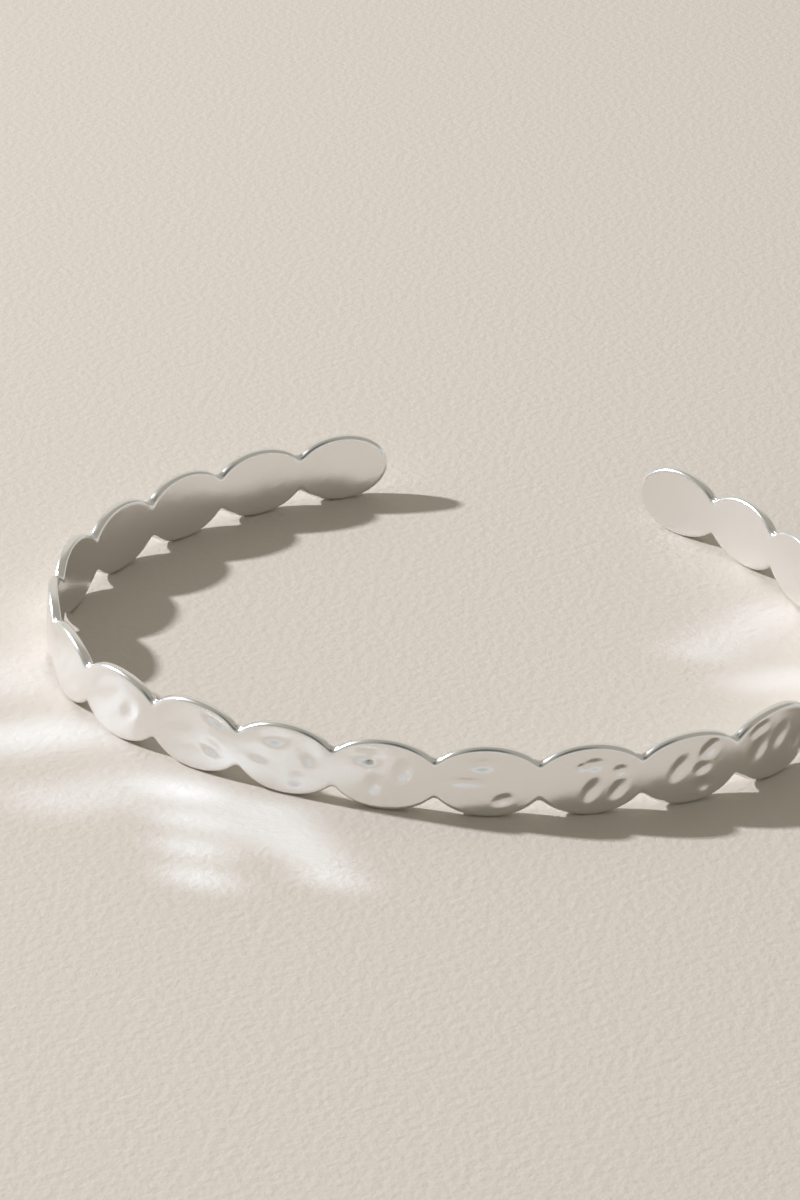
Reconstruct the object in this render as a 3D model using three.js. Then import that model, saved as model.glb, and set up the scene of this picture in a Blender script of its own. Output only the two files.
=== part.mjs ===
// Open cuff bracelet of polished silver, lying on its side on the plane z = 0.
//
// Millimetres, +Z up. The wrist's hollow is open above and below, the front of the
// bracelet faces -Y and the gap between its two tips faces +Y. The origin is under
// the middle of the outline's box.
//
// The real bracelet is one piece of metal, so it is one solid here: a flat strip of
// overlapping ovals, fused edge to edge and bent to a C, with a hammered outer face.

import * as THREE from "three";

// The row of ovals. Two neighbours cross at a neck.
const OVAL_COUNT = 21;
const OVAL_HEIGHT = 5.6;
const NECK_HEIGHT = 2.6;
const NECK_FILLET = 1.6; // how far apart two outlines may be where they flow together
const TIP_REACH = 3.85; // from the middle of an end oval to its rounded tip

// The strip's cross-section
const WALL_THICKNESS = 0.95;
const FACE_CROWN = 0.08; // how far the outer face swells at half height
const FACE_LEAN = 1.7; // degrees that both faces lean, so the wall is thicker at its foot
const EDGE_ROUND = 0.35;
const EDGE_LIMIT = 0.42; // the most of the wall, and of the height, that a round may take

// The middle line seen from above: a front arc, two side arcs and two end arcs
const FRONT_RADIUS = 40.5;
const FRONT_TURN = 56; // degrees, for the whole front
const SIDE_RADIUS = 21;
const SIDE_TURN = 78; // degrees, for each side
const END_RADIUS = 33;
const TIP_GAP = 21; // between the two ends of the middle line

// How finely the faces are cut
const STEPS_PER_OVAL = 11; // odd, so that an oval stands on a short flat foot
const STEPS_PER_TIP = 5;
const TIP_SWEEP = 86; // degrees round the tip's outline to its last cross-section
const OUTER_ROWS = 7;
const INNER_ROWS = 2;

// The hammer marks on the outer face, as seen on the eight ovals of the front. The row
// of ovals repeats them. Along and length are shares of an oval's half length, up and
// width are shares of its half height, and deep is a share of the wall. Turn is in
// degrees from the strip's direction.
const MARKED_OVALS = 8;
const FIRST_MARKED_OVAL = 7;
const HAMMER_MARKS = [
  { oval: 0, along: 0.35, up: 0.0, length: 0.32, width: 0.32, turn: 50, deep: 0.2 },
  { oval: 0, along: -0.25, up: 0.35, length: 0.5, width: 0.35, turn: 30, deep: 0.15 },
  { oval: 0, along: 0.1, up: -0.45, length: 0.4, width: 0.3, turn: 0, deep: 0.13 },
  { oval: 1, along: -0.3, up: 0.3, length: 0.5, width: 0.34, turn: 10, deep: 0.18 },
  { oval: 1, along: 0.38, up: -0.18, length: 0.32, width: 0.3, turn: -20, deep: 0.24 },
  { oval: 1, along: 0.5, up: 0.66, length: 0.4, width: 0.24, turn: -18, deep: 0.18 },
  { oval: 1, along: -0.1, up: -0.5, length: 0.36, width: 0.28, turn: 15, deep: 0.17 },
  { oval: 2, along: -0.15, up: 0.6, length: 0.34, width: 0.3, turn: 10, deep: 0.22 },
  { oval: 2, along: 0.48, up: 0.32, length: 0.24, width: 0.52, turn: 10, deep: 0.28 },
  { oval: 2, along: 0.22, up: -0.48, length: 0.28, width: 0.3, turn: 20, deep: 0.24 },
  { oval: 2, along: -0.45, up: 0.0, length: 0.34, width: 0.3, turn: -10, deep: 0.18 },
  { oval: 3, along: -0.28, up: 0.5, length: 0.36, width: 0.32, turn: 0, deep: 0.22 },
  { oval: 3, along: -0.22, up: 0.44, length: 0.09, width: 0.13, turn: 0, deep: 0.12 },
  { oval: 3, along: 0.34, up: 0.22, length: 0.18, width: 0.4, turn: -8, deep: 0.26 },
  { oval: 3, along: -0.16, up: -0.27, length: 0.17, width: 0.36, turn: -10, deep: 0.24 },
  { oval: 4, along: -0.08, up: 0.52, length: 0.38, width: 0.26, turn: 5, deep: 0.19 },
  { oval: 4, along: -0.35, up: 0.02, length: 0.55, width: 0.18, turn: 0, deep: 0.15 },
  { oval: 4, along: 0.27, up: -0.46, length: 0.24, width: 0.2, turn: 20, deep: 0.14 },
  { oval: 4, along: 0.42, up: 0.3, length: 0.12, width: 0.16, turn: 0, deep: 0.08 },
  { oval: 5, along: 0.04, up: 0.46, length: 0.3, width: 0.25, turn: 5, deep: 0.18 },
  { oval: 5, along: -0.2, up: 0.4, length: 0.09, width: 0.14, turn: 0, deep: 0.14 },
  { oval: 5, along: 0.5, up: 0.24, length: 0.2, width: 0.22, turn: 0, deep: 0.16 },
  { oval: 5, along: 0.0, up: -0.24, length: 0.32, width: 0.26, turn: 62, deep: 0.17 },
  { oval: 5, along: 0.46, up: -0.26, length: 0.3, width: 0.24, turn: 55, deep: 0.15 },
  { oval: 6, along: -0.22, up: 0.12, length: 0.36, width: 0.28, turn: 55, deep: 0.18 },
  { oval: 6, along: 0.33, up: 0.48, length: 0.3, width: 0.26, turn: 40, deep: 0.19 },
  { oval: 6, along: 0.2, up: 0.0, length: 0.22, width: 0.22, turn: 20, deep: 0.13 },
  { oval: 6, along: 0.22, up: -0.5, length: 0.2, width: 0.26, turn: 0, deep: 0.14 },
  { oval: 7, along: -0.4, up: 0.08, length: 0.36, width: 0.3, turn: 55, deep: 0.15 },
  { oval: 7, along: 0.06, up: 0.18, length: 0.34, width: 0.3, turn: 48, deep: 0.16 },
  { oval: 7, along: -0.4, up: 0.6, length: 0.26, width: 0.24, turn: 20, deep: 0.13 },
  { oval: 7, along: 0.5, up: -0.2, length: 0.3, width: 0.28, turn: 50, deep: 0.13 },
];

const silver = new THREE.MeshStandardMaterial({
  color: 0xdedcd7,
  roughness: 0.2,
  metalness: 1,
});

const { asin, sin, cos, tan, sqrt, hypot, abs, min, max, sign, round, PI } = Math;
const radians = THREE.MathUtils.degToRad;

// The turn of each end arc is what brings the tips to their gap
function endTurn(startAngle) {
  const halfFront = radians(FRONT_TURN) / 2;
  const halfGap = TIP_GAP / 2;
  const frontReach = FRONT_RADIUS * sin(halfFront);
  const sideReach = SIDE_RADIUS * (sin(startAngle) - sin(halfFront));
  const lastSine = sin(startAngle) - (frontReach + sideReach - halfGap) / END_RADIUS;
  return PI - asin(lastSine) - startAngle;
}

const halfFrontTurn = radians(FRONT_TURN) / 2;
const sideTurn = radians(SIDE_TURN);
const ARCS = [
  { radius: FRONT_RADIUS, length: FRONT_RADIUS * halfFrontTurn },
  { radius: SIDE_RADIUS, length: SIDE_RADIUS * sideTurn },
  { radius: END_RADIUS, length: END_RADIUS * endTurn(halfFrontTurn + sideTurn) },
];

const halfLength = ARCS.reduce((sum, arc) => sum + arc.length, 0);
const ovalPitch = (2 * (halfLength - TIP_REACH)) / (OVAL_COUNT - 1);
const ovalHalfLength = ovalPitch / 2 / sqrt(1 - (NECK_HEIGHT / OVAL_HEIGHT) ** 2);
const lastOval = OVAL_COUNT - 1;

// The place at a length s from the front's middle along the middle line, and the
// direction that points out of the bracelet there
function middleLine(s) {
  const side = sign(s);
  let left = abs(s);
  let angle = 0;
  let x = 0;
  let y = 0;
  for (const { radius, length } of ARCS) {
    const step = min(left, length);
    const next = angle + step / radius;
    x += radius * (sin(next) - sin(angle));
    y += radius * (cos(angle) - cos(next));
    angle = next;
    left -= step;
  }
  return { x: side * x, y, outX: side * sin(angle), outY: -cos(angle) };
}

function ovalCentre(index) {
  return (index - lastOval / 2) * ovalPitch;
}

function nearestOval(s) {
  return min(max(round(s / ovalPitch + lastOval / 2), 0), lastOval);
}

// Half of one oval's height at s. The end ovals reach a little less far past the tips.
function ovalOutline(index, s) {
  const along = s - ovalCentre(index);
  const pastTip = (index === 0 && along < 0) || (index === lastOval && along > 0);
  const reach = pastTip ? TIP_REACH : ovalHalfLength;
  return (OVAL_HEIGHT / 2) * sqrt(max(1 - (along / reach) ** 2, 0));
}

// Half of the strip's height at s: the outlines of the nearest oval and of the next
// one, which flow together at the neck
function halfHeight(s) {
  const index = nearestOval(s);
  const next = min(max(index + sign(s - ovalCentre(index)), 0), lastOval);
  const own = ovalOutline(index, s);
  if (next === index) {
    return own;
  }
  const beside = ovalOutline(next, s);
  const flow = max(NECK_FILLET - abs(own - beside), 0) / NECK_FILLET;
  return max(own, beside) + (NECK_FILLET * flow ** 3) / 6;
}

// How deep one oval's hammer marks are at s and at the height z above the middle line
function markDepthOf(index, s, z) {
  const marked = (index - FIRST_MARKED_OVAL + MARKED_OVALS * OVAL_COUNT) % MARKED_OVALS;
  let depth = 0;
  for (const mark of HAMMER_MARKS.filter(({ oval }) => oval === marked)) {
    const along = s - ovalCentre(index) - mark.along * ovalHalfLength;
    const up = z - (mark.up * OVAL_HEIGHT) / 2;
    const turn = radians(mark.turn);
    const q = hypot(
      (along * cos(turn) + up * sin(turn)) / (mark.length * ovalHalfLength),
      (up * cos(turn) - along * sin(turn)) / ((mark.width * OVAL_HEIGHT) / 2),
    );
    depth += q < 1 ? mark.deep * WALL_THICKNESS * (1 - q * q) ** 2 : 0;
  }
  return depth;
}

// A mark may run over a neck, so the neighbours' marks count too
function markDepth(s, z) {
  const index = nearestOval(s);
  const near = [index - 1, index, index + 1].filter((i) => i >= 0 && i <= lastOval);
  return near.reduce((depth, i) => depth + markDepthOf(i, s, z), 0);
}

// The cross-section at s as points [out, up] from the middle line, running up the
// outer face, over the upper rim, down the inner face and under the lower rim
function sectionAt(s) {
  const half = halfHeight(s);
  const edge = min(EDGE_ROUND, EDGE_LIMIT * 2 * half, EDGE_LIMIT * WALL_THICKNESS);
  const faceHalf = half - edge;
  const wallHalf = WALL_THICKNESS / 2;
  const points = [];
  const corner = (outSide, upSide, startAngle) => {
    for (const bend of [0, PI / 4, PI / 2]) {
      points.push([
        outSide * (wallHalf - edge) + edge * cos(startAngle + bend),
        upSide * faceHalf + edge * sin(startAngle + bend),
      ]);
    }
  };
  for (let row = 1; row <= OUTER_ROWS; row++) {
    const share = (2 * row) / (OUTER_ROWS + 1) - 1;
    const up = share * faceHalf;
    const crown = FACE_CROWN * (1 - share * share) * (half / (OVAL_HEIGHT / 2));
    points.push([wallHalf + crown - markDepth(s, up), up]);
  }
  corner(1, 1, 0);
  corner(-1, 1, PI / 2);
  for (let row = 1; row <= INNER_ROWS; row++) {
    points.push([-wallHalf, faceHalf * (1 - (2 * row) / (INNER_ROWS + 1))]);
  }
  corner(-1, -1, PI);
  corner(1, -1, 1.5 * PI);
  const lean = tan(radians(FACE_LEAN));
  return points.map(([out, up]) => [out - sign(out) * up * lean, up]);
}

// The places of the cross-sections: evenly along each oval from neck to neck, and
// closer and closer together towards each rounded tip
function stations() {
  const list = [];
  for (let index = 0; index <= lastOval; index++) {
    const first = index === 0 ? (STEPS_PER_OVAL - 1) / 2 + 1 : 0;
    const last = index === lastOval ? (STEPS_PER_OVAL - 1) / 2 : STEPS_PER_OVAL - 1;
    for (let step = first; step <= last; step++) {
      list.push(ovalCentre(index) + (step / STEPS_PER_OVAL - 0.5) * ovalPitch);
    }
  }
  const start = (0.5 * ovalPitch) / STEPS_PER_OVAL;
  for (let step = 1; step <= STEPS_PER_TIP; step++) {
    const bend = radians((TIP_SWEEP * step) / STEPS_PER_TIP);
    const past = start + (TIP_REACH - start) * sin(bend);
    list.push(ovalCentre(lastOval) + past);
    list.unshift(ovalCentre(0) - past);
  }
  return list;
}

function cuffBand() {
  const positions = [];
  const indices = [];
  const places = stations();
  const ringSize = sectionAt(0).length;

  for (const s of places) {
    const { x, y, outX, outY } = middleLine(s);
    for (const [out, up] of sectionAt(s)) {
      positions.push(x + out * outX, y + out * outY, OVAL_HEIGHT / 2 + up);
    }
  }
  for (let ring = 0; ring < places.length - 1; ring++) {
    for (let k = 0; k < ringSize; k++) {
      const a = ring * ringSize + k;
      const b = ring * ringSize + ((k + 1) % ringSize);
      indices.push(a, a + ringSize, b + ringSize, a, b + ringSize, b);
    }
  }
  // A fan round a middle point closes each tip
  for (const ring of [0, places.length - 1]) {
    const { x, y } = middleLine(places[ring]);
    const middle = positions.length / 3;
    positions.push(x, y, OVAL_HEIGHT / 2);
    for (let k = 0; k < ringSize; k++) {
      const a = ring * ringSize + k;
      const b = ring * ringSize + ((k + 1) % ringSize);
      indices.push(middle, ...(ring === 0 ? [a, b] : [b, a]));
    }
  }

  const geometry = new THREE.BufferGeometry();
  geometry.setAttribute("position", new THREE.Float32BufferAttribute(positions, 3));
  geometry.setIndex(indices);
  geometry.computeVertexNormals();
  geometry.computeBoundingBox();
  const box = geometry.boundingBox;
  geometry.translate(-(box.min.x + box.max.x) / 2, -(box.min.y + box.max.y) / 2, -box.min.z);
  const mesh = new THREE.Mesh(geometry, silver);
  mesh.name = "cuff_band";
  return mesh;
}

const bracelet = new THREE.Group();
bracelet.add(cuffBand());

export default bracelet;
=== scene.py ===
"""Looks of the silver cuff bracelet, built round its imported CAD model.

Metres, +Z up. The bracelet lies on its side on the floor, its front towards -Y.
"""

import math

import bpy
from mathutils import Matrix, Vector


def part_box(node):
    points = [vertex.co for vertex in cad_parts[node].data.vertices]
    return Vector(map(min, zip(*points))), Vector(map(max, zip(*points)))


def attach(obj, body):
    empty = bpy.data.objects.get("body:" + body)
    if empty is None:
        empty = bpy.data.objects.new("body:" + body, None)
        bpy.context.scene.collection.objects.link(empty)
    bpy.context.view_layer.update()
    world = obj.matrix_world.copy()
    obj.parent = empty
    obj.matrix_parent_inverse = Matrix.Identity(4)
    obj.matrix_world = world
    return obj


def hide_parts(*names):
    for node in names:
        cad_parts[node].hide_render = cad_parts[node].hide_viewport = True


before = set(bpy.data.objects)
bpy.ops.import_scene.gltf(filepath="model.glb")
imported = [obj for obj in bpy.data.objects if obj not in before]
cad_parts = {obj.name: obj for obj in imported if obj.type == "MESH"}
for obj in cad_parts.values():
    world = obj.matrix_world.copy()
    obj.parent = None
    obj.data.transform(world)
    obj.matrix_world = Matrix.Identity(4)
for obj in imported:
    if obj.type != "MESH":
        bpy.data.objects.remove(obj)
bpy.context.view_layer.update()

MM = 0.001
BAND = "cuff_band"
band_low, band_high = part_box(BAND)

# The row of ovals. Two neighbours cross at a neck, and the frame gives the height.
OVAL_COUNT = 21
OVAL_HEIGHT = band_high.z - band_low.z
NECK_HEIGHT = 2.6 * MM
NECK_FILLET = 1.6 * MM
TIP_REACH = 3.85 * MM

# The strip's cross-section. The outer face swells by the crown at half height, and both
# faces lean, so that the wall is thicker at its foot.
WALL_THICKNESS = 0.95 * MM
FACE_CROWN = 0.08 * MM
FACE_LEAN = math.radians(1.7)
EDGE_ROUND = 0.35 * MM

# The middle line seen from above: a front arc, two side arcs and two end arcs
FRONT_RADIUS = 40.5 * MM
FRONT_TURN = math.radians(56)
SIDE_RADIUS = 21 * MM
SIDE_TURN = math.radians(78)
END_RADIUS = 33 * MM
TIP_GAP = 21 * MM

# How finely the band is cut, and how near to each other two points become one
STEPS_PER_OVAL = 48
STEPS_PER_TIP = 24
ROWS_PER_FACE = 44
SAME_POINT = 0.001 * MM

# Where two ovals meet, their swells and their rims' rounds flow together. The first is
# a share of the swell, the second a share of the neck's fillet.
SWELL_BLEND = 0.3
ROUND_BLEND = 0.5

# Soft unevenness that the hammer leaves between its marks
WAVE_DEPTH = 0.02 * MM
WAVE_LENGTH = 2.4 * MM
WAVE_DETAIL = 1
WAVE_SEED = 4.0

# A length and a slope, per metre, that are too small to see. They settle a tie and keep
# a division from failing.
TINY_LENGTH = 1e-9
TINY_SLOPE = 1

# The hammer marks of eight ovals, which the row repeats. Along and length are shares
# of an oval's half length, up and width of its half height, and deep of the wall.
MARKED_OVALS = 8
FIRST_MARKED_OVAL = 7
MARK_COLUMNS = ("oval", "along", "up", "length", "width", "turn", "deep")
HAMMER_MARKS = (
    (0, 0.35, 0.0, 0.32, 0.32, 50, 0.2),
    (0, -0.25, 0.35, 0.5, 0.35, 30, 0.15),
    (0, 0.1, -0.45, 0.4, 0.3, 0, 0.13),
    (1, -0.3, 0.3, 0.5, 0.34, 10, 0.18),
    (1, 0.38, -0.18, 0.32, 0.3, -20, 0.24),
    (1, 0.5, 0.66, 0.4, 0.24, -18, 0.18),
    (1, -0.1, -0.5, 0.36, 0.28, 15, 0.17),
    (2, -0.15, 0.6, 0.34, 0.3, 10, 0.22),
    (2, 0.48, 0.32, 0.24, 0.52, 10, 0.28),
    (2, 0.22, -0.48, 0.28, 0.3, 20, 0.24),
    (2, -0.45, 0.0, 0.34, 0.3, -10, 0.18),
    (3, -0.28, 0.5, 0.36, 0.32, 0, 0.22),
    (3, -0.22, 0.44, 0.09, 0.13, 0, 0.12),
    (3, 0.34, 0.22, 0.18, 0.4, -8, 0.26),
    (3, -0.16, -0.27, 0.17, 0.36, -10, 0.24),
    (4, -0.08, 0.52, 0.38, 0.26, 5, 0.19),
    (4, -0.35, 0.02, 0.55, 0.18, 0, 0.15),
    (4, 0.27, -0.46, 0.24, 0.2, 20, 0.14),
    (4, 0.42, 0.3, 0.12, 0.16, 0, 0.08),
    (5, 0.04, 0.46, 0.3, 0.25, 5, 0.18),
    (5, -0.2, 0.4, 0.09, 0.14, 0, 0.14),
    (5, 0.5, 0.24, 0.2, 0.22, 0, 0.16),
    (5, 0.0, -0.24, 0.32, 0.26, 62, 0.17),
    (5, 0.46, -0.26, 0.3, 0.24, 55, 0.15),
    (6, -0.22, 0.12, 0.36, 0.28, 55, 0.18),
    (6, 0.33, 0.48, 0.3, 0.26, 40, 0.19),
    (6, 0.2, 0.0, 0.22, 0.22, 20, 0.13),
    (6, 0.22, -0.5, 0.2, 0.26, 0, 0.14),
    (7, -0.4, 0.08, 0.36, 0.3, 55, 0.15),
    (7, 0.06, 0.18, 0.34, 0.3, 48, 0.16),
    (7, -0.4, 0.6, 0.26, 0.24, 20, 0.13),
    (7, 0.5, -0.2, 0.3, 0.28, 50, 0.13),
)

# The camera looks along +Y, turned a little to the left and down
CAMERA_TURN = math.radians(10.71)
CAMERA_ELEVATION = math.radians(27.5)
CAMERA_ROLL = math.radians(-1.2)
CAMERA_DISTANCE = 0.3352
CAMERA_LENS = 132
CAMERA_CLIP_START = 0.01
IMAGE_WIDTH, IMAGE_HEIGHT = 800, 1200
TARGET_PIXEL = (452.8, 614.8)

# The key light stands low on the left. Its strength doesn't fall off with distance.
KEY_PLACE = (-0.38, 0.035, 0.242)
KEY_RADIUS = 0.013
KEY_STRENGTH = 54.5
KEY_COLOR = (0.92, 0.93, 1.0)

# Streaks of light that the silver throws onto the floor: chains of small spots, which
# shine along the key's rays
SPOTS_PER_STREAK = 4
SPOT_DISTANCE = 0.2
SPOT_SOFTNESS = 0.0012
SPOT_BLEND = 1
SPOT_COLOR = (0.58, 0.75, 1.0)
STREAK_COLUMNS = ("from_x", "from_y", "to_x", "to_y", "radius", "strength")
STREAKS = (
    (-0.0335, 0.0000, -0.0315, -0.0070, 0.0034, 0.1),
    (-0.0345, -0.0150, -0.0310, -0.0105, 0.0036, 0.35),
    (-0.0305, -0.0225, -0.0245, -0.0190, 0.0028, 0.8),
    (-0.0240, -0.0300, -0.0160, -0.0252, 0.0028, 0.65),
    (-0.0145, -0.0262, -0.0105, -0.0375, 0.0020, 1.8),
    (-0.0120, -0.0262, -0.0080, -0.0320, 0.0018, 0.8),
    (-0.0072, -0.0275, -0.0015, -0.0355, 0.0019, 1.6),
    (0.0187, 0.0035, 0.0230, 0.0110, 0.0021, 1.0),
    (0.0228, -0.0012, 0.0265, 0.0018, 0.0018, 0.7),
)

# The room is warm and even, brighter low down and behind the bracelet, with a dark
# patch over the camera
ROOM_COLOR = (0.385, 0.363, 0.313)
ROOM_LOW_COLOR = (0.74, 0.76, 0.78)
ROOM_LOW_EDGE = (0.08, 0.3)
ROOM_BACK_SIDE = (-0.16, 0.84, 0.52)
ROOM_BACK_COLOR = (0.70, 0.67, 0.60)
ROOM_BACK_EDGE = (math.radians(45), math.radians(15))
ROOM_DARK_SIDE = (0.13, -0.72, 0.68)
ROOM_DARK_COLOR = (0.11, 0.115, 0.12)
ROOM_DARK_EDGE = (math.radians(29), math.radians(15))

# Polished silver: its roughness varies a little, and fine scratches bend its reflections
SILVER_COLOR = (0.88, 0.876, 0.862)
SILVER_ROUGHNESS = (0.17, 0.27)
POLISH_SCALE = 900
POLISH_DETAIL = 3
POLISH_DEPTH = 0.015 * MM

# The floor is matt pale card with a fine grain
FLOOR_SIDE = 4.0
FLOOR_COLOR = (0.61, 0.558, 0.49)
FLOOR_ROUGHNESS = 0.7
FLOOR_SHINE = 0.2
GRAIN_SCALE = 1500
GRAIN_DETAIL = 2
GRAIN_STRENGTH = 0.5
GRAIN_DEPTH = 0.15 * MM


class Formula:
    """A value in a node tree, so that a rule can be written as sums and products."""

    def __init__(self, tree, socket):
        self.tree = tree
        self.socket = socket

    def math(self, operation, *others):
        node = self.tree.nodes.new("ShaderNodeMath")
        node.operation = operation
        for place, value in zip(node.inputs, (self, *others)):
            connect(value, place)
        return Formula(self.tree, node.outputs[0])

    def __add__(self, other):
        return self.math("ADD", other)

    def __sub__(self, other):
        return self.math("SUBTRACT", other)

    def __mul__(self, other):
        return self.math("MULTIPLY", other)

    def __truediv__(self, other):
        return self.math("DIVIDE", other)

    def less_from(self, whole):
        return (self * -1) + whole

    def clamped(self, low, high):
        return self.math("MAXIMUM", low).math("MINIMUM", high)


def connect(value, socket):
    if isinstance(value, Formula):
        value.tree.links.new(value.socket, socket)
    else:
        socket.default_value = value


def new_tree(name, inputs, output_type):
    """A node tree with named number inputs, its inputs as formulas, and its output node."""
    tree = bpy.data.node_groups.new(name, "GeometryNodeTree")
    for label in inputs:
        tree.interface.new_socket(label, in_out="INPUT", socket_type="NodeSocketFloat")
    tree.interface.new_socket("Result", in_out="OUTPUT", socket_type=output_type)
    source = tree.nodes.new("NodeGroupInput")
    formulas = {label: Formula(tree, source.outputs[label]) for label in inputs}
    return tree, formulas, tree.nodes.new("NodeGroupOutput")


def hammer_mark_tree():
    """How deep one hammer mark is at a place on the strip. It repeats every period."""
    labels = ("Place", "Height", "Period", "Centre", "Up", "Length", "Width", "Turn", "Deep")
    tree, given, result = new_tree("hammer_mark", labels, "NodeSocketFloat")
    half_period = given["Period"] * 0.5
    along = (given["Place"] - given["Centre"]).math("WRAP", half_period, half_period * -1)
    up = given["Height"] - given["Up"]
    cosine = given["Turn"].math("COSINE")
    sine = given["Turn"].math("SINE")
    lengthwise = (along * cosine + up * sine) / given["Length"]
    crosswise = (up * cosine - along * sine) / given["Width"]
    inside = (lengthwise * lengthwise + crosswise * crosswise).less_from(1).math("MAXIMUM", 0)
    connect(given["Deep"] * inside * inside, result.inputs["Result"])
    return tree


def oval_outline(along, half_length, given):
    """Half of an oval's height at a length from its middle."""
    share = along / half_length
    bend = (share * share).less_from(1).math("MAXIMUM", 0).math("SQRT")
    return bend * given["Oval half height"]


def oval_inside(along, up, half_length, half_height):
    """1 in an oval's middle, 0 on its outline, and how far in from the outline that is."""
    across, over = along / half_length, up / half_height
    inside = (across * across + over * over).less_from(1)
    slope_along, slope_up = across / half_length, over / half_height
    slope = (slope_along * slope_along + slope_up * slope_up).math("SQRT")
    return inside, inside / (slope * 2 + TINY_SLOPE)


def middle_line(place, given):
    """The middle line's x, y and heading at a length from the front's middle."""
    left = place.math("ABSOLUTE")
    angle = left * 0
    x = y = angle
    for name in ("Front", "Side", "End"):
        radius = given[f"{name} radius"]
        step = left.math("MINIMUM", given[f"{name} length"])
        turned = angle + step / radius
        x = x + radius * (turned.math("SINE") - angle.math("SINE"))
        y = y + radius * (angle.math("COSINE") - turned.math("COSINE"))
        angle = turned
        left = left - step
    return x, y, angle


def cuff_sizes():
    """The tree's inputs: every size of the band, those that follow from others too."""
    half_front = FRONT_TURN / 2
    end_start = half_front + SIDE_TURN
    reach = FRONT_RADIUS * math.sin(half_front)
    reach += SIDE_RADIUS * (math.sin(end_start) - math.sin(half_front))
    last_sine = math.sin(end_start) - (reach - TIP_GAP / 2) / END_RADIUS
    end_turn = math.pi - math.asin(last_sine) - end_start
    front, side, end = FRONT_RADIUS * half_front, SIDE_RADIUS * SIDE_TURN, END_RADIUS * end_turn
    pitch = 2 * (front + side + end - TIP_REACH) / (OVAL_COUNT - 1)
    return {
        "Oval count": OVAL_COUNT,
        "Oval pitch": pitch,
        "Oval half length": pitch / 2 / math.sqrt(1 - (NECK_HEIGHT / OVAL_HEIGHT) ** 2),
        "Oval half height": OVAL_HEIGHT / 2,
        "Neck fillet": NECK_FILLET,
        "Tip reach": TIP_REACH,
        "Wall thickness": WALL_THICKNESS,
        "Face crown": FACE_CROWN,
        "Face slope": math.tan(FACE_LEAN),
        "Edge round": EDGE_ROUND,
        "Front radius": FRONT_RADIUS,
        "Front length": front,
        "Side radius": SIDE_RADIUS,
        "Side length": side,
        "End radius": END_RADIUS,
        "End length": end,
        "Steps per oval": STEPS_PER_OVAL,
        "Steps per tip": STEPS_PER_TIP,
        "Rows per face": ROWS_PER_FACE,
        "Wave depth": WAVE_DEPTH,
        "Wave length": WAVE_LENGTH,
        "Wave seed": WAVE_SEED,
    }


def hammer_depth(tree, given, place, up):
    """How deep all the hammer marks and the soft waves between them are."""
    mark_tree = hammer_mark_tree()
    depth = place * 0
    for row in HAMMER_MARKS:
        mark = dict(zip(MARK_COLUMNS, row))
        node = tree.nodes.new("GeometryNodeGroup")
        node.node_tree = mark_tree
        steps = (given["Oval count"] - 1) * -0.5 + (mark["oval"] + FIRST_MARKED_OVAL)
        inputs = {
            "Place": place,
            "Height": up,
            "Period": given["Oval pitch"] * MARKED_OVALS,
            "Centre": steps * given["Oval pitch"] + given["Oval half length"] * mark["along"],
            "Up": given["Oval half height"] * mark["up"],
            "Length": given["Oval half length"] * mark["length"],
            "Width": given["Oval half height"] * mark["width"],
            "Turn": math.radians(mark["turn"]),
            "Deep": given["Wall thickness"] * mark["deep"],
        }
        for label, value in inputs.items():
            connect(value, node.inputs[label])
        depth = depth + Formula(tree, node.outputs["Result"])

    point = tree.nodes.new("ShaderNodeCombineXYZ")
    connect(place / given["Wave length"], point.inputs["X"])
    connect(up / given["Wave length"], point.inputs["Y"])
    connect(given["Wave seed"], point.inputs["Z"])
    noise = tree.nodes.new("ShaderNodeTexNoise")
    noise.inputs["Scale"].default_value = 1
    noise.inputs["Detail"].default_value = WAVE_DETAIL
    tree.links.new(point.outputs[0], noise.inputs["Vector"])
    return depth + Formula(tree, noise.outputs["Fac"]) * given["Wave depth"]


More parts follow.
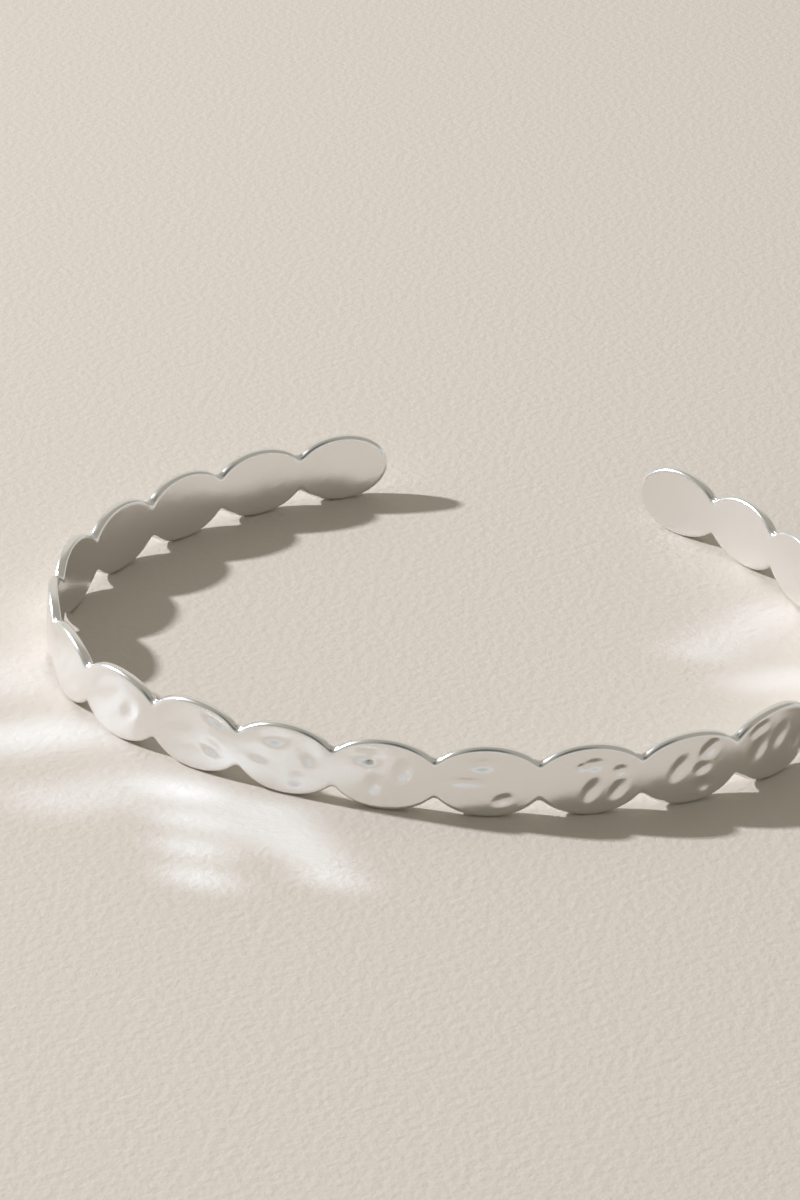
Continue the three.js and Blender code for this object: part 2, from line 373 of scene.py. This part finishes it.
def cuff_tree(silver):
    """The band as a grid whose columns run along the strip and whose rows go round it."""
    sizes = cuff_sizes()
    tree, given, result = new_tree("cuff_band", sizes, "NodeSocketGeometry")
    core_steps = (given["Oval count"] - 1) * given["Steps per oval"]
    all_steps = core_steps + given["Steps per tip"] * 2
    ring_steps = given["Rows per face"] * 2
    grid = tree.nodes.new("GeometryNodeMeshGrid")
    connect(all_steps, grid.inputs["Size X"])
    connect(ring_steps, grid.inputs["Size Y"])
    connect(all_steps + 1, grid.inputs["Vertices X"])
    connect(ring_steps + 1, grid.inputs["Vertices Y"])

    position = tree.nodes.new("GeometryNodeInputPosition")
    split = tree.nodes.new("ShaderNodeSeparateXYZ")
    tree.links.new(position.outputs[0], split.inputs[0])
    column = Formula(tree, split.outputs["X"])
    row = Formula(tree, split.outputs["Y"]) + given["Rows per face"]

    # The column's place along the strip, and in its oval
    side = column.math("GREATER_THAN", 0) * 2 - 1
    core = column.clamped(core_steps * -0.5, core_steps * 0.5)
    sweep = (column - core).math("ABSOLUTE") / given["Steps per tip"] * (math.pi / 2)
    past = side * given["Tip reach"] * sweep.math("SINE")
    ovals = core / given["Steps per oval"] + (given["Oval count"] - 1) * 0.5
    in_oval = (ovals - (ovals + 0.5).math("FLOOR")) * given["Oval pitch"]
    place = core / given["Steps per oval"] * given["Oval pitch"] + past
    in_tip = sweep.math("GREATER_THAN", 0)
    half_length = given["Oval half length"]
    half_length = half_length + in_tip * (given["Tip reach"] - half_length)

    # The next oval along the strip. A tip has none on its outer side.
    along = in_oval + past
    towards_next = (in_oval - side * TINY_LENGTH).math("SIGN")
    beside = along - towards_next * given["Oval pitch"]
    half_height = oval_outline(in_oval, half_length, given)
    next_height = oval_outline(beside, half_length, given)
    half_height = half_height.math("SMOOTH_MAX", next_height, given["Neck fillet"])
    half_height = half_height * sweep.math("COSINE")

    # The row's place up the outer face, or down the inner one
    turn_row = row.math("MODULO", ring_steps)
    inner = turn_row.math("GREATER_THAN", given["Rows per face"] - 0.5)
    outer = inner.less_from(1)
    face_row = turn_row - inner * given["Rows per face"]
    row_angle = (face_row / (given["Rows per face"] - 1) - 0.5) * math.pi
    up = half_height * row_angle.math("SINE") * (outer - inner)

    # The rim's round, the swell of each oval, the marks and the lean of both faces
    inside, depth = oval_inside(along, up, half_length, given["Oval half height"])
    inside_next, depth_next = oval_inside(beside, up, half_length, given["Oval half height"])
    depth = depth.math("SMOOTH_MAX", depth_next, given["Neck fillet"] * ROUND_BLEND)
    swell = inside.math("SMOOTH_MAX", inside_next, SWELL_BLEND).math("MAXIMUM", 0)
    rim = (depth / given["Edge round"]).less_from(1).clamped(0, 1)
    drop = (rim * rim).less_from(1).math("SQRT").less_from(1) * given["Edge round"]
    from_rim = (depth / (given["Edge round"] * 2)).clamped(0, 1)
    hammered = hammer_depth(tree, given, place, up) * from_rim
    plate = given["Wall thickness"] * 0.5 - drop - up * given["Face slope"]
    plate = plate * (outer - inner)
    out = plate + (swell * given["Face crown"] - hammered) * outer

    x, y, heading = middle_line(place, given)
    point = tree.nodes.new("ShaderNodeCombineXYZ")
    connect(place.math("SIGN") * (x + out * heading.math("SINE")), point.inputs["X"])
    connect(y - out * heading.math("COSINE"), point.inputs["Y"])
    connect(up + given["Oval half height"], point.inputs["Z"])

    steps = (
        ("GeometryNodeSetPosition", {"Position": point.outputs[0]}),
        ("GeometryNodeMergeByDistance", {"Distance": SAME_POINT}),
        ("GeometryNodeSetShadeSmooth", {}),
        ("GeometryNodeRealizeInstances", {}),
        ("GeometryNodeSetMaterial", {"Material": silver}),
    )
    shape = grid.outputs["Mesh"]
    for kind, values in steps:
        node = tree.nodes.new(kind)
        tree.links.new(shape, node.inputs["Geometry"])
        for label, value in values.items():
            if isinstance(value, bpy.types.NodeSocket):
                tree.links.new(value, node.inputs[label])
            else:
                node.inputs[label].default_value = value
        shape = node.outputs["Geometry"]
    tree.links.new(shape, result.inputs["Result"])
    return tree, sizes


def make_cuff(silver):
    tree, sizes = cuff_tree(silver)
    maker = bpy.data.objects.new("cuff_maker", bpy.data.meshes.new("cuff_maker"))
    bpy.context.scene.collection.objects.link(maker)
    modifier = maker.modifiers.new("cuff", "NODES")
    modifier.node_group = tree
    for item in tree.interface.items_tree:
        if item.in_out == "INPUT":
            modifier[item.identifier] = float(sizes[item.name])
    graph = bpy.context.evaluated_depsgraph_get()
    mesh = bpy.data.meshes.new_from_object(maker.evaluated_get(graph))
    bpy.data.objects.remove(maker)

    # The middle of the band's outline is over the middle of the CAD node's box
    xs = [vertex.co.x for vertex in mesh.vertices]
    ys = [vertex.co.y for vertex in mesh.vertices]
    made_middle = Vector(((min(xs) + max(xs)) / 2, (min(ys) + max(ys)) / 2, 0))
    box_middle = (band_low + band_high) / 2
    box_middle.z = band_low.z
    mesh.transform(Matrix.Translation(box_middle - made_middle))
    band = bpy.data.objects.new("hammered_band", mesh)
    bpy.context.scene.collection.objects.link(band)
    return band


def new_material(name):
    material = bpy.data.materials.new(name)
    material.use_nodes = True
    return material, material.node_tree.nodes, material.node_tree.links


def fine_relief(nodes, links, scale, detail, depth):
    """Noise that bends a material's reflections. Returns the noise's value and the bump."""
    place = nodes.new("ShaderNodeTexCoord")
    noise = nodes.new("ShaderNodeTexNoise")
    noise.inputs["Scale"].default_value = scale
    noise.inputs["Detail"].default_value = detail
    links.new(place.outputs["Object"], noise.inputs["Vector"])
    bump = nodes.new("ShaderNodeBump")
    bump.inputs["Distance"].default_value = depth
    links.new(noise.outputs["Fac"], bump.inputs["Height"])
    links.new(bump.outputs["Normal"], nodes["Principled BSDF"].inputs["Normal"])
    return noise.outputs["Fac"], bump


def silver_material():
    material, nodes, links = new_material("polished_silver")
    shader = nodes["Principled BSDF"]
    shader.inputs["Base Color"].default_value = (*SILVER_COLOR, 1)
    shader.inputs["Metallic"].default_value = 1
    polish, _ = fine_relief(nodes, links, POLISH_SCALE, POLISH_DETAIL, POLISH_DEPTH)
    spread = nodes.new("ShaderNodeMapRange")
    spread.inputs["To Min"].default_value, spread.inputs["To Max"].default_value = SILVER_ROUGHNESS
    links.new(polish, spread.inputs["Value"])
    links.new(spread.outputs["Result"], shader.inputs["Roughness"])
    return material


def floor_material():
    material, nodes, links = new_material("pale_floor")
    shader = nodes["Principled BSDF"]
    shader.inputs["Base Color"].default_value = (*FLOOR_COLOR, 1)
    shader.inputs["Roughness"].default_value = FLOOR_ROUGHNESS
    shader.inputs["Specular IOR Level"].default_value = FLOOR_SHINE
    _, bump = fine_relief(nodes, links, GRAIN_SCALE, GRAIN_DETAIL, GRAIN_DEPTH)
    bump.inputs["Strength"].default_value = GRAIN_STRENGTH
    return material


def make_floor():
    half = FLOOR_SIDE / 2
    corners = [(x, y, 0) for x, y in ((-half, -half), (half, -half), (half, half), (-half, half))]
    mesh = bpy.data.meshes.new("floor")
    mesh.from_pydata(corners, [], [(0, 1, 2, 3)])
    mesh.materials.append(floor_material())
    floor = bpy.data.objects.new("floor", mesh)
    bpy.context.scene.collection.objects.link(floor)
    return floor


def make_camera():
    """The photo's view: the camera turns until the target falls on its pixel."""
    flat = Vector((-math.sin(CAMERA_TURN), math.cos(CAMERA_TURN), 0))
    ahead = flat * math.cos(CAMERA_ELEVATION) - Vector((0, 0, math.sin(CAMERA_ELEVATION)))
    right = Vector((math.cos(CAMERA_TURN), math.sin(CAMERA_TURN), 0))
    roll = Matrix.Rotation(CAMERA_ROLL, 3, ahead)
    right = roll @ right
    above = right.cross(ahead)
    target = Vector((0, 0, OVAL_HEIGHT / 2))
    camera_data = bpy.data.cameras.new("camera")
    camera_data.lens = CAMERA_LENS
    camera_data.clip_start = CAMERA_CLIP_START
    place = target - ahead * CAMERA_DISTANCE
    pixels = CAMERA_LENS / camera_data.sensor_width * IMAGE_HEIGHT
    ahead -= right * ((TARGET_PIXEL[0] - IMAGE_WIDTH / 2) / pixels)
    ahead += above * ((TARGET_PIXEL[1] - IMAGE_HEIGHT / 2) / pixels)
    ahead.normalize()
    right = (right - ahead * right.dot(ahead)).normalized()
    above = right.cross(ahead)
    turned = Matrix((right, above, -ahead)).transposed()
    camera = bpy.data.objects.new("camera", camera_data)
    camera.matrix_world = Matrix.Translation(place) @ turned.to_4x4()
    bpy.context.scene.collection.objects.link(camera)
    bpy.context.scene.camera = camera


def add_light(name, light, ray, place):
    """A lamp at a place, shining along a ray."""
    lamp = bpy.data.objects.new(name, light)
    lamp.location = place
    lamp.rotation_euler = ray.to_track_quat("-Z", "Y").to_euler()
    bpy.context.scene.collection.objects.link(lamp)


def make_key():
    key = bpy.data.lights.new("key", "POINT")
    key.energy = KEY_STRENGTH
    key.color = KEY_COLOR
    key.shadow_soft_size = KEY_RADIUS
    key.use_nodes = True
    nodes, links = key.node_tree.nodes, key.node_tree.links
    even = nodes.new("ShaderNodeLightFalloff")
    even.inputs["Strength"].default_value = 1
    links.new(even.outputs["Constant"], nodes["Emission"].inputs["Strength"])
    add_light("key", key, -Vector(KEY_PLACE), KEY_PLACE)


def make_streaks():
    for row in STREAKS:
        streak = dict(zip(STREAK_COLUMNS, row))
        start = Vector((streak["from_x"], streak["from_y"], 0))
        end = Vector((streak["to_x"], streak["to_y"], 0))
        for index in range(SPOTS_PER_STREAK):
            aim = start.lerp(end, index / (SPOTS_PER_STREAK - 1))
            ray = (aim - Vector(KEY_PLACE)).normalized()
            light = bpy.data.lights.new("spot", "SPOT")
            light.energy = streak["strength"]
            light.color = SPOT_COLOR
            light.shadow_soft_size = SPOT_SOFTNESS
            light.spot_size = 2 * math.atan(streak["radius"] / SPOT_DISTANCE)
            light.spot_blend = SPOT_BLEND
            add_light("spot", light, ray, aim - ray * SPOT_DISTANCE)


def blend_color(nodes, links, share, first, second):
    """One colour that turns into another as a share goes from 0 to 1."""
    mix = nodes.new("ShaderNodeMix")
    mix.data_type = "RGBA"
    links.new(share, mix.inputs["Factor"])
    for socket, color in ((mix.inputs["A"], first), (mix.inputs["B"], second)):
        if isinstance(color, bpy.types.NodeSocket):
            links.new(color, socket)
        else:
            socket.default_value = (*color, 1)
    return mix.outputs["Result"]


def soft_edge(nodes, links, value, start, end):
    """0 at the start, 1 at the end, and a smooth step between."""
    step = nodes.new("ShaderNodeMapRange")
    step.interpolation_type = "SMOOTHSTEP"
    step.inputs["From Min"].default_value = start
    step.inputs["From Max"].default_value = end
    links.new(value, step.inputs["Value"])
    return step.outputs["Result"]


def make_room():
    world = bpy.data.worlds.new("room")
    world.use_nodes = True
    nodes, links = world.node_tree.nodes, world.node_tree.links
    heading = nodes.new("ShaderNodeTexCoord").outputs["Generated"]
    split = nodes.new("ShaderNodeSeparateXYZ")
    links.new(heading, split.inputs[0])
    high = soft_edge(nodes, links, split.outputs["Z"], *ROOM_LOW_EDGE)
    walls = blend_color(nodes, links, high, ROOM_LOW_COLOR, ROOM_COLOR)
    patches = (
        (ROOM_BACK_SIDE, ROOM_BACK_EDGE, ROOM_BACK_COLOR),
        (ROOM_DARK_SIDE, ROOM_DARK_EDGE, ROOM_DARK_COLOR),
    )
    for side, edge_angles, color in patches:
        near = nodes.new("ShaderNodeVectorMath")
        near.operation = "DOT_PRODUCT"
        near.inputs[1].default_value = Vector(side).normalized()
        links.new(heading, near.inputs[0])
        edges = [math.cos(angle) for angle in edge_angles]
        share = soft_edge(nodes, links, near.outputs["Value"], *edges)
        walls = blend_color(nodes, links, share, walls, color)
    links.new(walls, nodes["Background"].inputs["Color"])
    bpy.context.scene.world = world
    bpy.context.scene.view_settings.view_transform = "Standard"


silver = silver_material()
band = make_cuff(silver)
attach(band, "root")
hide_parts(BAND)

floor = make_floor()
make_key()
make_streaks()
make_room()
make_camera()
